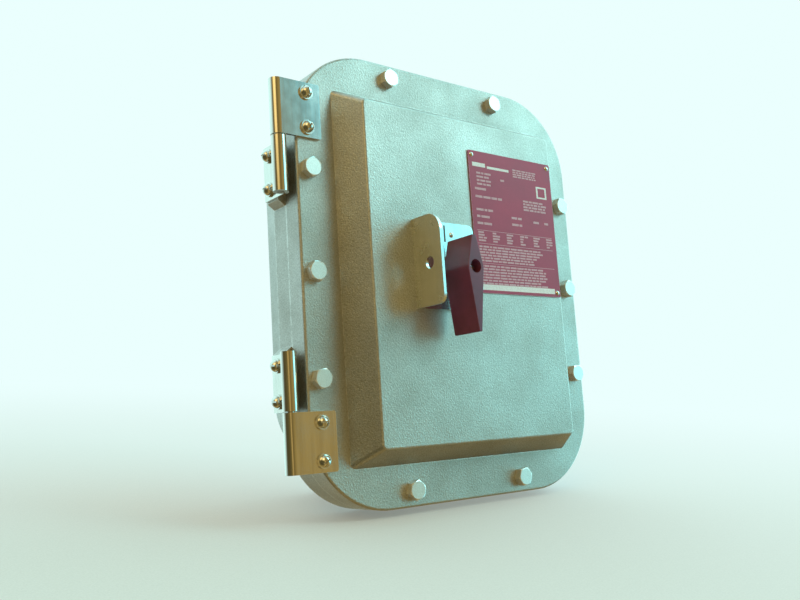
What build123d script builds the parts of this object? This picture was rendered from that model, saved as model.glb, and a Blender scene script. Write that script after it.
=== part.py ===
"""Fused disconnect switch in a cast, hinged, bolted enclosure, with a rotary handle on the cover.

Frame: the origin is the centre of the wall face between the four mounting lugs. +X is the
viewer's right, +Z is up and the front of the switch faces -Y. Every size is in millimetres.
Most pieces are drawn on planes parallel to the wall: x to the right, y up and the normal
towards the viewer, at a stated distance "out" from the wall.
"""
import math
import os

from build123d import *

os.makedirs("parts", exist_ok=True)

# Driving dimensions of the castings
FRONT = 112.0            # wall to the front face of the cover flange
COVER_FLANGE = 19.0      # thickness of the cover flange
BODY_FLANGE = 19.0       # thickness of the body flange
JOINT = FRONT - COVER_FLANGE
FLANGE_BACK = JOINT - BODY_FLANGE
FLANGE_SIZE = (310.0, 370.0)
FLANGE_CORNER = 72.0
FLANGE_BREAK = 2.0       # rounding of the outer front edge
DOME_BASE = (240.0, 302.0)
DOME_FACE = (213.0, 275.0)
DOME_RISE = 25.0
DOME = FRONT + DOME_RISE
BOLT_PITCH = 82.0
SIDE_BOLT_X = 143.3
END_BOLT_X = 60.8
END_BOLT_Y = 171.7

# Hinges
HINGE_X = -168.0
HINGE_LEAF = 2.5
KNUCKLE = 12.0           # knuckle diameter
HINGE_OUT = FRONT + HINGE_LEAF - KNUCKLE / 2
HINGE_PIN = 6.0
PIN_PLAY = 0.05          # radial clearance of a running fit
COVER_KNUCKLE = (106.0, 151.0)
BODY_KNUCKLE = (61.0, 105.0)
PAD_X = -161.0           # face of the cast pad that carries the body leaf

# Operator
SHAFT_X = -32.5
SHAFT = 12.0
HANDLE_BACK = 144.6
HANDLE_FRONT = 173.6
BRACKET = 2.5

# Switch inside
POLES = (5.0, 40.0, 75.0)
PAN_OUT = 18.0
PAN = 2.0
BASE_OUT = PAN_OUT + PAN
BASE = 22.0
DECK = BASE_OUT + BASE   # front face of the insulating base
STRIP = 3.0              # copper strips lie on the deck
TOP = DECK + STRIP
CURRENT_OUT = 60.0       # level of the blade pivots
PIVOT_Y = 30.0
FUSE_OUT = 62.0
FUSE_Y = -32.0


def facing(out):
    """The plane parallel to the wall at a distance out, seen from the front."""
    return Plane(origin=(0, -out, 0), x_dir=(1, 0, 0), z_dir=(0, -1, 0))


def spot(x, up, out, spin=0.0):
    """A place on such a plane, turned by spin degrees about the normal."""
    return facing(out).location * Location((x, up, 0), (0, 0, spin))


def side_spot(x, up, out):
    """A place whose normal points to -X, away from the left side of the body."""
    return Plane(origin=(x, -out, up), x_dir=(0, -1, 0), z_dir=(-1, 0, 0)).location


def upright(up):
    """The level plane at a height up: X and Y as in the frame."""
    return Plane(origin=(0, 0, up), x_dir=(1, 0, 0), z_dir=(0, 0, 1))


def across(x):
    """The plane square to X at x: up is local y, and the distance from the wall is local x."""
    return Plane(origin=(x, 0, 0), x_dir=(0, -1, 0), z_dir=(-1, 0, 0))


# ---------------------------------------------------------------- body casting
BODY_FRONT_SIZE = (272.0, 330.0)
BODY_REAR_SIZE = (244.0, 296.0)
BODY_REAR_CORNER = 54.0
BODY_FRONT_CORNER = 62.0
REAR_ROUND = 10.0
WALL = 10.0
LUG_X = 66.0
LUG_Y = 161.0
LUG_WIDTH = 26.0
LUG_REACH = 173.0
LUG_HOLE = 9.0
LUG = 12.0
HUB_X = 35.0
HUB_OUT = 40.0
HUB_DIAMETER = 56.0
HUB_BORE = 41.0
HUB_START = 140.0
HUB_REACH = 174.0
PAN_SCREW_X = 84.0
PAN_SCREW_Y = 118.0
PAN_BOSS = 14.0
SEAL_SIZE = (264.0, 320.0)
SEAL_CORNER = 44.0
SEAL = 3.0
TAP_DEPTH = 17.0
TAP = 8.2

side_bolts = [(s * SIDE_BOLT_X, k * BOLT_PITCH) for s in (-1, 1) for k in (-1, 0, 1)]
end_bolts = [(s * END_BOLT_X, k * END_BOLT_Y) for s in (-1, 1) for k in (-1, 1)]
bolt_places = side_bolts + end_bolts
lug_places = [(s * LUG_X, k * LUG_Y) for s in (-1, 1) for k in (-1, 1)]
pan_screw_places = [(s * PAN_SCREW_X, k * PAN_SCREW_Y) for s in (-1, 1) for k in (-1, 1)]
BODY_SCREW_OUT = 84.0
BODY_SCREW_Y = (69.4, 96.8)
body_leaf_screws = [s * y for s in (-1, 1) for y in BODY_SCREW_Y]


def inset(size, wall):
    """The size left inside a wall of the given thickness."""
    return size[0] - 2 * wall, size[1] - 2 * wall


with BuildPart() as body_casting:
    # Tapered box with a rounded rear edge
    with BuildSketch(facing(0)):
        RectangleRounded(*BODY_REAR_SIZE, BODY_REAR_CORNER)
    with BuildSketch(facing(FLANGE_BACK)):
        RectangleRounded(*BODY_FRONT_SIZE, BODY_FRONT_CORNER)
    loft()
    fillet(body_casting.faces().sort_by(Axis.Y)[-1].edges(), REAR_ROUND)
    # Flange
    with BuildSketch(facing(FLANGE_BACK)):
        RectangleRounded(*FLANGE_SIZE, FLANGE_CORNER)
    extrude(amount=BODY_FLANGE)
    # Mounting lugs
    with BuildSketch(facing(0)):
        for side in (-1, 1):
            with Locations((-LUG_X, side * (LUG_REACH - 20)), (LUG_X, side * (LUG_REACH - 20))):
                RectangleRounded(LUG_WIDTH, 40, 8)
    extrude(amount=LUG)
    # Pads for the hinge leaves, each ending in a gusset
    for side in (-1, 1):
        with BuildSketch(facing(FLANGE_BACK + 1)):
            with BuildLine():
                Polyline(
                    (PAD_X, side * 104),
                    (-150, side * 104),
                    (-150, side * 55),
                    (-154.5, side * 55),
                    (PAD_X, side * 60),
                    close=True,
                )
            make_face()
        extrude(amount=BODY_FLANGE - 2)
    # Hollow
    with BuildSketch(facing(WALL)):
        RectangleRounded(*inset(BODY_REAR_SIZE, WALL), BODY_REAR_CORNER - WALL)
    with BuildSketch(facing(JOINT)):
        RectangleRounded(*inset(BODY_FRONT_SIZE, 12), BODY_FRONT_CORNER - 12)
    loft(mode=Mode.SUBTRACT)
    # Conduit hubs through the top and bottom walls
    for side in (-1, 1):
        with BuildSketch(upright(side * HUB_START)):
            with Locations((HUB_X, -HUB_OUT)):
                Circle(HUB_DIAMETER / 2)
        extrude(amount=side * (HUB_REACH - HUB_START))
    # Bosses under the mounting pan
    with BuildSketch(facing(WALL - 1)):
        with GridLocations(2 * PAN_SCREW_X, 2 * PAN_SCREW_Y, 2, 2):
            Circle(PAN_BOSS / 2)
    extrude(amount=PAN_OUT - WALL + 1)
    # Holes: tapped flange holes, lug holes, pan screws, hub bores and hinge screws
    with Locations(*[spot(x, y, JOINT) for x, y in bolt_places]):
        Hole(TAP / 2, depth=TAP_DEPTH)
    with Locations(*[spot(x, y, LUG) for x, y in lug_places]):
        Hole(LUG_HOLE / 2, depth=LUG)
    with Locations(*[spot(x, y, PAN_OUT) for x, y in pan_screw_places]):
        Hole(2.1, depth=12)
    for side in (-1, 1):
        with BuildSketch(upright(side * HUB_START)):
            with Locations((HUB_X, -HUB_OUT)):
                Circle(HUB_BORE / 2)
        extrude(amount=side * (HUB_REACH - HUB_START), mode=Mode.SUBTRACT)
    with Locations(*[side_spot(PAD_X, y, BODY_SCREW_OUT) for y in body_leaf_screws]):
        Hole(2.6, depth=14)
    # Groove for the flange seal
    with BuildSketch(facing(JOINT)):
        RectangleRounded(*SEAL_SIZE, SEAL_CORNER)
        RectangleRounded(*inset(SEAL_SIZE, SEAL), SEAL_CORNER - SEAL, mode=Mode.SUBTRACT)
    extrude(amount=-2.4, mode=Mode.SUBTRACT)
body_casting.part.label = "body_casting"
export_step(body_casting.part, "parts/body_casting.step")

with BuildPart() as flange_seal:
    with BuildSketch(facing(JOINT - 2.4)):
        RectangleRounded(*inset(SEAL_SIZE, 0.1), SEAL_CORNER - 0.1)
        RectangleRounded(*inset(SEAL_SIZE, SEAL - 0.1), SEAL_CORNER - SEAL + 0.1, mode=Mode.SUBTRACT)
    extrude(amount=2.3)
    fillet(flange_seal.faces().sort_by(Axis.Y)[0].edges(), 0.9)
flange_seal.part.label = "flange_seal"
export_step(flange_seal.part, "parts/flange_seal.step")

# ---------------------------------------------------------------- cover casting
DOME_WALL = 9.0
DOME_CORNER = 4.0
DOME_EDGE = 2.0
POCKET_BASE = (208.0, 268.0)
POCKET_FACE = (192.0, 252.0)
POCKET_CORNER = 12.0
BOSS = 36.0
BUSHING = 20.0
BUSHING_BACK = 110.0
BOLT_SHANK = 9.5
PLATE_CENTRE = (53.5, 49.0)
PLATE_SIZE = (103.0, 126.0)
RIVET = 2.2
BRACKET_SCREW = 3.0
BRACKET_SCREWS = ((-25.5, 33.0), (-39.5, 33.0), (-25.5, -20.0), (-39.5, -20.0))
COVER_SCREW_Y = (114.0, 142.5)
COVER_SCREW_X = -145.3
cover_leaf_screws = [s * y for s in (-1, 1) for y in COVER_SCREW_Y]
rivet_x = [PLATE_CENTRE[0] + s * (PLATE_SIZE[0] / 2 - 4) for s in (-1, 1)]
rivet_y = [PLATE_CENTRE[1] + s * (PLATE_SIZE[1] / 2 - 4) for s in (-1, 1)]
rivet_places = [(x, y) for x in rivet_x for y in rivet_y]

with BuildPart() as cover_casting:
    with BuildSketch(facing(JOINT)):
        RectangleRounded(*FLANGE_SIZE, FLANGE_CORNER)
    extrude(amount=COVER_FLANGE)
    fillet(cover_casting.faces().sort_by(Axis.Y)[0].edges(), FLANGE_BREAK)
    # Raised box
    with BuildSketch(facing(FRONT)):
        RectangleRounded(*DOME_BASE, DOME_CORNER)
    with BuildSketch(facing(DOME)):
        RectangleRounded(*DOME_FACE, DOME_CORNER)
    loft()
    fillet(cover_casting.faces().sort_by(Axis.Y)[0].edges(), DOME_EDGE)
    # Hollow under the raised box
    with BuildSketch(facing(JOINT)):
        RectangleRounded(*POCKET_BASE, POCKET_CORNER)
    with BuildSketch(facing(DOME - DOME_WALL)):
        RectangleRounded(*POCKET_FACE, POCKET_CORNER)
    loft(mode=Mode.SUBTRACT)
    # Boss around the shaft bushing
    with BuildSketch(facing(FRONT)):
        with Locations((SHAFT_X, 0)):
            Circle(BOSS / 2)
    extrude(amount=DOME_RISE - DOME_WALL + 1)
    with Locations(spot(SHAFT_X, 0, DOME)):
        Hole(BUSHING / 2, depth=DOME_RISE + 1)
    with Locations(*[spot(x, y, FRONT) for x, y in bolt_places]):
        Hole(BOLT_SHANK / 2 + 0.4, depth=COVER_FLANGE)
    with Locations(*[spot(COVER_SCREW_X, y, FRONT) for y in cover_leaf_screws]):
        Hole(2.6, depth=14)
    with Locations(*[spot(x, y, DOME) for x, y in rivet_places]):
        Hole(RIVET / 2 + 0.05, depth=5)
    with Locations(*[spot(x, y, DOME) for x, y in BRACKET_SCREWS]):
        Hole(BRACKET_SCREW / 2 + 0.05, depth=8)
cover_casting.part.label = "cover_casting"
export_step(cover_casting.part, "parts/cover_casting.step")

# ---------------------------------------------------------------- cover bolts
HEX_FLATS = 14.3
HEX_HEIGHT = 6.0
BOLT_SPINS = (12, 47, 25, 4, 38, 52, 18, 33, 9, 41)

with BuildPart() as one_cover_bolt:
    with BuildSketch():
        RegularPolygon(HEX_FLATS / 2, 6, major_radius=False)
    extrude(amount=HEX_HEIGHT)
    with BuildSketch(Plane.XZ):
        with BuildLine():
            Polyline(
                (0, -1),
                (HEX_FLATS, -1),
                (HEX_FLATS, HEX_HEIGHT - 3.4),
                (HEX_FLATS / 2 - 0.3, HEX_HEIGHT),
                (0, HEX_HEIGHT),
                close=True,
            )
        make_face()
    revolve(axis=Axis.Z, mode=Mode.INTERSECT)
    with BuildSketch():
        Circle(BOLT_SHANK / 2)
    extrude(amount=-COVER_FLANGE)

with BuildPart() as cover_bolts:
    for (bolt_x, bolt_y), spin in zip(bolt_places, BOLT_SPINS):
        with Locations(spot(bolt_x, bolt_y, FRONT, spin)):
            add(one_cover_bolt.part)
cover_bolts.part.label = "cover_bolts"
export_step(cover_bolts.part, "parts/cover_bolts.step")

# ---------------------------------------------------------------- hinges
LEAF_EDGE_X = -132.6
LEAF_CORNER = 1.5
LEAF_HOLE = 2.9          # radius of the clearance holes in the leaves
BODY_LEAF_BACK = 76.0


def hinge_cover_leaf(side):
    """Leaf on the cover flange with the knuckle that turns on the pin; side is 1 above, -1 below."""
    low, high = sorted((side * COVER_KNUCKLE[0], side * COVER_KNUCKLE[1]))
    with BuildPart() as leaf:
        with BuildSketch(upright(low)):
            with Locations((HINGE_X, -HINGE_OUT)):
                Circle(KNUCKLE / 2)
            with Locations(((HINGE_X + LEAF_EDGE_X) / 2, -FRONT - HINGE_LEAF / 2)):
                Rectangle(LEAF_EDGE_X - HINGE_X, HINGE_LEAF)
            with Locations((HINGE_X, -HINGE_OUT)):
                Circle(HINGE_PIN / 2 + PIN_PLAY, mode=Mode.SUBTRACT)
        extrude(amount=high - low)
        upright_edges = leaf.edges().filter_by(Axis.Y)
        corners = upright_edges.filter_by_position(Axis.X, LEAF_EDGE_X - 1, LEAF_EDGE_X + 1)
        fillet(corners, LEAF_CORNER)
        with Locations(*[spot(COVER_SCREW_X, side * y, FRONT + HINGE_LEAF) for y in COVER_SCREW_Y]):
            Hole(LEAF_HOLE, depth=HINGE_LEAF)
    return leaf


def hinge_body_leaf(side):
    """Leaf on the body pad with the knuckle that holds the pin."""
    low, high = sorted((side * BODY_KNUCKLE[0], side * BODY_KNUCKLE[1]))
    with BuildPart() as leaf:
        with BuildSketch(upright(low)):
            with Locations((HINGE_X, -HINGE_OUT)):
                Circle(KNUCKLE / 2)
            with Locations((PAD_X - HINGE_LEAF / 2, -(HINGE_OUT + BODY_LEAF_BACK) / 2)):
                Rectangle(HINGE_LEAF, HINGE_OUT - BODY_LEAF_BACK)
            with Locations((HINGE_X, -HINGE_OUT)):
                Circle(HINGE_PIN / 2, mode=Mode.SUBTRACT)
        extrude(amount=high - low)
        leaf_x = PAD_X - HINGE_LEAF
        with Locations(*[side_spot(leaf_x, side * y, BODY_SCREW_OUT) for y in BODY_SCREW_Y]):
            Hole(LEAF_HOLE, depth=HINGE_LEAF)
    return leaf


def hinge_pin(side):
    """Pin pressed in the body knuckle, running in the cover knuckle."""
    low, high = sorted((side * BODY_KNUCKLE[0], side * COVER_KNUCKLE[1]))
    with BuildPart() as pin:
        with BuildSketch(upright(low)):
            with Locations((HINGE_X, -HINGE_OUT)):
                Circle(HINGE_PIN / 2)
        extrude(amount=high - low)
        chamfer(pin.edges().filter_by(GeomType.CIRCLE), 0.6)
    return pin


upper_hinge_cover_leaf = hinge_cover_leaf(1)
upper_hinge_cover_leaf.part.label = "upper_hinge_cover_leaf"
export_step(upper_hinge_cover_leaf.part, "parts/upper_hinge_cover_leaf.step")
lower_hinge_cover_leaf = hinge_cover_leaf(-1)
lower_hinge_cover_leaf.part.label = "lower_hinge_cover_leaf"
export_step(lower_hinge_cover_leaf.part, "parts/lower_hinge_cover_leaf.step")
upper_hinge_body_leaf = hinge_body_leaf(1)
upper_hinge_body_leaf.part.label = "upper_hinge_body_leaf"
export_step(upper_hinge_body_leaf.part, "parts/upper_hinge_body_leaf.step")
lower_hinge_body_leaf = hinge_body_leaf(-1)
lower_hinge_body_leaf.part.label = "lower_hinge_body_leaf"
export_step(lower_hinge_body_leaf.part, "parts/lower_hinge_body_leaf.step")
upper_hinge_pin = hinge_pin(1)
upper_hinge_pin.part.label = "upper_hinge_pin"
export_step(upper_hinge_pin.part, "parts/upper_hinge_pin.step")
lower_hinge_pin = hinge_pin(-1)
lower_hinge_pin.part.label = "lower_hinge_pin"
export_step(lower_hinge_pin.part, "parts/lower_hinge_pin.step")

# ---------------------------------------------------------------- screws and lock washers


def round_head(head, rise, shank, length):
    """Round-head pin at the origin: the head, a cap of a sphere, stands on Z = 0."""
    sphere = (rise**2 + (head / 2) ** 2) / (2 * rise)
    half_angle = math.asin(head / 2 / sphere) / 2
    middle = (sphere * math.sin(half_angle), rise - sphere * (1 - math.cos(half_angle)))
    with BuildPart() as pin:
        with BuildSketch(Plane.XZ):
            with BuildLine():
                Line((0, -length), (shank / 2, -length))
                Line((shank / 2, -length), (shank / 2, 0))
                Line((shank / 2, 0), (head / 2, 0))
                ThreePointArc((head / 2, 0), middle, (0, rise))
                Line((0, rise), (0, -length))
            make_face()
        revolve(axis=Axis.Z)
    return pin.part


def round_screw(head, rise, shank, length, slot=1.2):
    """Round-head screw like the pin above, with a slot across the head."""
    with BuildPart() as screw:
        add(round_head(head, rise, shank, length))
        with Locations((0, 0, rise)):
            Box(head, slot, rise * 0.7, mode=Mode.SUBTRACT)
    return screw.part


def lock_washer(inner, outer, thick):
    """Split spring washer lying on Z = 0."""
    with BuildPart() as washer:
        with BuildSketch():
            Circle(outer / 2)
            Circle(inner / 2, mode=Mode.SUBTRACT)
            with Locations(Location(((inner + outer) / 4, 0, 0), (0, 0, 25))):
                Rectangle(outer, 0.9, mode=Mode.SUBTRACT)
        extrude(amount=thick)
    return washer.part


WASHER = 1.6
hinge_screw = round_screw(9.4, 4.4, 5.0, 12.0)
hinge_washer = lock_washer(5.6, 11.6, WASHER)
LEAF_FRONT = FRONT + HINGE_LEAF
cover_screw_places = [spot(COVER_SCREW_X, y, LEAF_FRONT, 35 * i) for i, y in enumerate(cover_leaf_screws)]
body_screw_places = [side_spot(PAD_X - HINGE_LEAF, y, BODY_SCREW_OUT) for y in body_leaf_screws]

with BuildPart() as hinge_cover_washers:
    with Locations(*cover_screw_places):
        add(hinge_washer)
hinge_cover_washers.part.label = "hinge_cover_washers"
export_step(hinge_cover_washers.part, "parts/hinge_cover_washers.step")

with BuildPart() as hinge_cover_screws:
    with Locations(*[place * Location((0, 0, WASHER)) for place in cover_screw_places]):
        add(hinge_screw)
hinge_cover_screws.part.label = "hinge_cover_screws"
export_step(hinge_cover_screws.part, "parts/hinge_cover_screws.step")

with BuildPart() as hinge_body_washers:
    with Locations(*body_screw_places):
        add(hinge_washer)
hinge_body_washers.part.label = "hinge_body_washers"
export_step(hinge_body_washers.part, "parts/hinge_body_washers.step")

with BuildPart() as hinge_body_screws:
    with Locations(*[place * Location((0, 0, WASHER)) for place in body_screw_places]):
        add(hinge_screw)
hinge_body_screws.part.label = "hinge_body_screws"
export_step(hinge_body_screws.part, "parts/hinge_body_screws.step")

# ---------------------------------------------------------------- nameplate
PLATE = 1.0

with BuildPart() as nameplate:
    with BuildSketch(facing(DOME)):
        with Locations(PLATE_CENTRE):
            RectangleRounded(*PLATE_SIZE, 1.5)
        with Locations(*rivet_places):
            Circle(RIVET / 2 + 0.05, mode=Mode.SUBTRACT)
    extrude(amount=PLATE)
nameplate.part.label = "nameplate"
export_step(nameplate.part, "parts/nameplate.step")

# ---------------------------------------------------------------- operator bracket with padlock ear
BRACKET_X = (-65.0, -1.0)
BRACKET_Y = (-29.8, 42.8)
EAR_OUT = DOME + 33.5
EAR_HOLE = (4.0, DOME + 19.0)
bracket_mid = (sum(BRACKET_X) / 2, sum(BRACKET_Y) / 2)
bracket_size = (BRACKET_X[1] - BRACKET_X[0], BRACKET_Y[1] - BRACKET_Y[0])

with BuildPart() as padlock_bracket:
    with BuildSketch(facing(DOME)):
        with Locations(bracket_mid):
            Rectangle(*bracket_size)
    extrude(amount=BRACKET)
    right_corners = padlock_bracket.edges().filter_by(Axis.Y).group_by(Axis.X)[-1]
    fillet(right_corners, 5)
    with BuildSketch(across(BRACKET_X[0])):
        with Locations(((DOME + EAR_OUT) / 2, bracket_mid[1])):
            Rectangle(EAR_OUT - DOME, bracket_size[1])
    extrude(amount=-BRACKET)
    ear_tip = padlock_bracket.edges().filter_by(Axis.X).group_by(Axis.Y)[0]
    fillet(ear_tip.sort_by(Axis.Z)[-1], 15)
    fillet(ear_tip.sort_by(Axis.Z)[0], 7)
    with Locations(side_spot(BRACKET_X[0], *EAR_HOLE)):
        Hole(4.8, depth=BRACKET)
    with Locations(spot(SHAFT_X, 0, DOME + BRACKET)):
        Hole(BUSHING / 2 + 0.2, depth=BRACKET)
    with Locations(*[spot(x, y, DOME + BRACKET) for x, y in BRACKET_SCREWS]):
        Hole(BRACKET_SCREW / 2 + 0.15, depth=BRACKET)
padlock_bracket.part.label = "padlock_bracket"
export_step(padlock_bracket.part, "parts/padlock_bracket.step")

drive_rivet = round_head(4.4, 1.4, RIVET, 4.0)
with BuildPart() as nameplate_rivets:
    with Locations(*[spot(x, y, DOME + PLATE) for x, y in rivet_places]):
        add(drive_rivet)
nameplate_rivets.part.label = "nameplate_rivets"
export_step(nameplate_rivets.part, "parts/nameplate_rivets.step")

bracket_screw = round_screw(4.8, 1.7, BRACKET_SCREW, 9.0, slot=0.7)
with BuildPart() as bracket_screws:
    with Locations(*[spot(x, y, DOME + BRACKET, 20 * i) for i, (x, y) in enumerate(BRACKET_SCREWS)]):
        add(bracket_screw)
bracket_screws.part.label = "bracket_screws"
export_step(bracket_screws.part, "parts/bracket_screws.step")

# ---------------------------------------------------------------- shaft, bushing and handle
FORK_OUT = 90.5
KEY_RISE = 8.0
SHAFT_END = 163.0
BUSH_FLANGE = 2.0

with BuildPart() as shaft_bushing:
    with BuildSketch(facing(BUSHING_BACK)):
        with Locations((SHAFT_X, 0)):
            Circle(BUSHING / 2)
    extrude(amount=DOME + BRACKET - BUSHING_BACK)
    with BuildSketch(facing(DOME + BRACKET)):
        with Locations((SHAFT_X, 0)):
            RegularPolygon(13, 6, major_radius=False)
    extrude(amount=BUSH_FLANGE)
    with Locations(spot(SHAFT_X, 0, DOME + BRACKET + BUSH_FLANGE)):
        Hole(SHAFT / 2 + PIN_PLAY)
shaft_bushing.part.label = "shaft_bushing"
export_step(shaft_bushing.part, "parts/shaft_bushing.step")

FORK_FLOOR = FORK_OUT + KEY_RISE + 0.6
FORK_TOP = 108.0
RING_OUT = 108.4
PIN_OUT = 103.4

with BuildPart() as operating_shaft:
    with BuildSketch(facing(FORK_FLOOR)):
        with Locations((SHAFT_X, 0)):
            Circle(SHAFT / 2)
    extrude(amount=SHAFT_END - FORK_FLOOR)
    chamfer(operating_shaft.edges().filter_by(GeomType.CIRCLE), 0.8)
    # Groove of the retaining ring
    with BuildSketch(facing(RING_OUT)):
        with Locations((SHAFT_X, 0)):
            Circle(SHAFT / 2 + 1)
            Circle(SHAFT / 2 - 1, mode=Mode.SUBTRACT)
    extrude(amount=1.2, mode=Mode.SUBTRACT)
    with Locations(spot(SHAFT_X, 0, SHAFT_END)):
        Hole(2.6, depth=16)
    with Locations(Plane(origin=(SHAFT_X + SHAFT, -PIN_OUT, 0), z_dir=(1, 0, 0)).location):
        Hole(2.0, depth=2 * SHAFT)
operating_shaft.part.label = "operating_shaft"
export_step(operating_shaft.part, "parts/operating_shaft.step")

with BuildPart() as retaining_ring:
    with BuildSketch(facing(RING_OUT)):
        with Locations((SHAFT_X, 0)):
            Circle(SHAFT / 2 + 3)
            Circle(SHAFT / 2 - 1, mode=Mode.SUBTRACT)
        with Locations((SHAFT_X, 6)):
            Rectangle(5, 12, mode=Mode.SUBTRACT)
    extrude(amount=1.2)
retaining_ring.part.label = "retaining_ring"
export_step(retaining_ring.part, "parts/retaining_ring.step")

# The fork is slotted along X in the on position, so the cover can swing it off the key
with BuildPart() as drive_fork:
    with BuildSketch(facing(FORK_OUT)):
        with Locations((SHAFT_X, 0)):
            Circle(16)
    extrude(amount=FORK_TOP - 5 - FORK_OUT)
    with BuildSketch(facing(FORK_TOP - 6)):
        with Locations((SHAFT_X, 0)):
            Circle(11)
    extrude(amount=6)
    with BuildSketch(facing(FORK_OUT)):
        with Locations((SHAFT_X, 0)):
            Rectangle(40, 6)
    extrude(amount=KEY_RISE + 0.6, mode=Mode.SUBTRACT)
    with Locations(spot(SHAFT_X, 0, FORK_TOP)):
        Hole(SHAFT / 2)
    with Locations(Plane(origin=(SHAFT_X + 20, -PIN_OUT, 0), z_dir=(1, 0, 0)).location):
        Hole(2.0, depth=40)
drive_fork.part.label = "drive_fork"
export_step(drive_fork.part, "parts/drive_fork.step")

with BuildPart() as fork_pin:
    with BuildSketch(Plane(origin=(SHAFT_X - 10.5, -PIN_OUT, 0), z_dir=(1, 0, 0))):
        Circle(2.0)
        Circle(1.0, mode=Mode.SUBTRACT)
    extrude(amount=21)
fork_pin.part.label = "fork_pin"
export_step(fork_pin.part, "parts/fork_pin.step")

HANDLE_TOP = 25.5
HANDLE_BOTTOM = -52.0
HANDLE_WIDE = 17.0
HANDLE_TIP = 4.4
HANDLE_END = 3.2
HANDLE_WEB = (161.0, 165.0)
HANDLE_BORE = 11.0
HANDLE_WAIST = 12.0      # radius that rounds the two side corners
half_wide = HANDLE_WIDE / 2

with BuildPart() as handle:
    with BuildSketch(facing(HANDLE_BACK)) as outline:
        with BuildLine():
            Polyline(
                (SHAFT_X - HANDLE_TIP / 2, HANDLE_TOP),
                (SHAFT_X + HANDLE_TIP / 2, HANDLE_TOP),
                (SHAFT_X + half_wide, 0),
                (SHAFT_X + HANDLE_END / 2, HANDLE_BOTTOM),
                (SHAFT_X - HANDLE_END / 2, HANDLE_BOTTOM),
                (SHAFT_X - half_wide, 0),
                close=True,
            )
        make_face()
    extrude(amount=HANDLE_FRONT - HANDLE_BACK)
    ridges = handle.edges().filter_by(Axis.Y)
    fillet(ridges.filter_by_position(Axis.Z, -1, 1), HANDLE_WAIST)
    fillet(ridges.filter_by_position(Axis.Z, HANDLE_TOP - 1, HANDLE_TOP + 1), 0.8)
    fillet(ridges.filter_by_position(Axis.Z, HANDLE_BOTTOM - 1, HANDLE_BOTTOM + 1), 0.8)
    fillet(handle.faces().sort_by(Axis.Y)[0].edges(), 0.6)
    with Locations(spot(SHAFT_X, 0, HANDLE_FRONT)):
        CounterBoreHole(2.8, HANDLE_BORE / 2, HANDLE_FRONT - HANDLE_WEB[1])
    with BuildSketch(facing(HANDLE_BACK)):
        with Locations((SHAFT_X, 0)):
            Circle(SHAFT / 2)
    extrude(amount=SHAFT_END - HANDLE_BACK, mode=Mode.SUBTRACT)
handle.part.label = "handle"
export_step(handle.part, "parts/handle.step")

with BuildPart() as handle_screw:
    with Locations(spot(SHAFT_X, 0, HANDLE_WEB[1])):
        add(round_screw(9.4, 3.6, 5.0, 14.0))
handle_screw.part.label = "handle_screw"
export_step(handle_screw.part, "parts/handle_screw.step")

# ---------------------------------------------------------------- mounting pan and switch base
PAN_SIZE = (186.0, 252.0)
BASE_X = (-62.0, 96.0)
BASE_HALF = 112.0
BASE_SCREWS = [(x, s * 106.0) for x in (BASE_X[0] + 7, BASE_X[1] - 7) for s in (-1, 1)]
GROUND = (-80.0, -78.0)
STRIP_SCREWS = (57.0, 12.0, -80.0)   # heights of the screws that hold the copper strips

with BuildPart() as mounting_pan:
    with BuildSketch(facing(PAN_OUT)):
        RectangleRounded(*PAN_SIZE, 8)
        with Locations(*pan_screw_places):
            Circle(2.6, mode=Mode.SUBTRACT)
        with Locations(*BASE_SCREWS, GROUND):
            Circle(2.0, mode=Mode.SUBTRACT)
    extrude(amount=PAN)
mounting_pan.part.label = "mounting_pan"
export_step(mounting_pan.part, "parts/mounting_pan.step")

with BuildPart() as pan_screws:
    with Locations(*[spot(x, y, BASE_OUT) for x, y in pan_screw_places]):
        add(round_screw(8.4, 3.4, 4.1, 12.0))
pan_screws.part.label = "pan_screws"
export_step(pan_screws.part, "parts/pan_screws.step")

with BuildPart() as switch_base:
    with BuildSketch(facing(BASE_OUT)):
        with Locations((sum(BASE_X) / 2, 0)):
            RectangleRounded(BASE_X[1] - BASE_X[0], 2 * BASE_HALF, 5)
    extrude(amount=BASE)
    fillet(switch_base.faces().sort_by(Axis.Y)[0].edges(), 1.5)
    with Locations(*[spot(x, y, DECK) for x, y in BASE_SCREWS]):
        CounterBoreHole(2.2, 5.0, 8.0)
    with Locations(*[spot(x, y, DECK) for x in POLES for y in STRIP_SCREWS]):
        Hole(2.15, depth=9)
switch_base.part.label = "switch_base"
export_step(switch_base.part, "parts/switch_base.step")

with BuildPart() as base_screws:
    with Locations(*[spot(x, y, DECK - 8) for x, y in BASE_SCREWS]):
        add(round_screw(8.4, 3.2, 4.0, 15.5))
base_screws.part.label = "base_screws"
export_step(base_screws.part, "parts/base_screws.step")

with BuildPart() as ground_lug:
    with BuildSketch(facing(BASE_OUT)):
        with Locations((GROUND[0], GROUND[1] - 6)):
            RectangleRounded(14, 26, 2)
        with Locations(GROUND):
            Circle(2.2, mode=Mode.SUBTRACT)
    extrude(amount=3)
    with BuildSketch(facing(BASE_OUT + 3)):
        with Locations((GROUND[0], GROUND[1] - 12)):
            Rectangle(14, 13)
    extrude(amount=13)
    with BuildSketch(upright(GROUND[1] - 20)):
        with Locations((GROUND[0], -(BASE_OUT + 8.5))):
            Circle(3.4)
    extrude(amount=16, mode=Mode.SUBTRACT)
    with Locations(spot(GROUND[0], GROUND[1] - 12, BASE_OUT + 16)):
        Hole(2.6, depth=5)
ground_lug.part.label = "ground_lug"
export_step(ground_lug.part, "parts/ground_lug.step")

with BuildPart() as ground_screw:
    with Locations(spot(*GROUND, BASE_OUT + 3)):
        add(round_screw(7.6, 3.0, 4.0, 7.0))
ground_screw.part.label = "ground_screw"
export_step(ground_screw.part, "parts/ground_screw.step")

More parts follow.
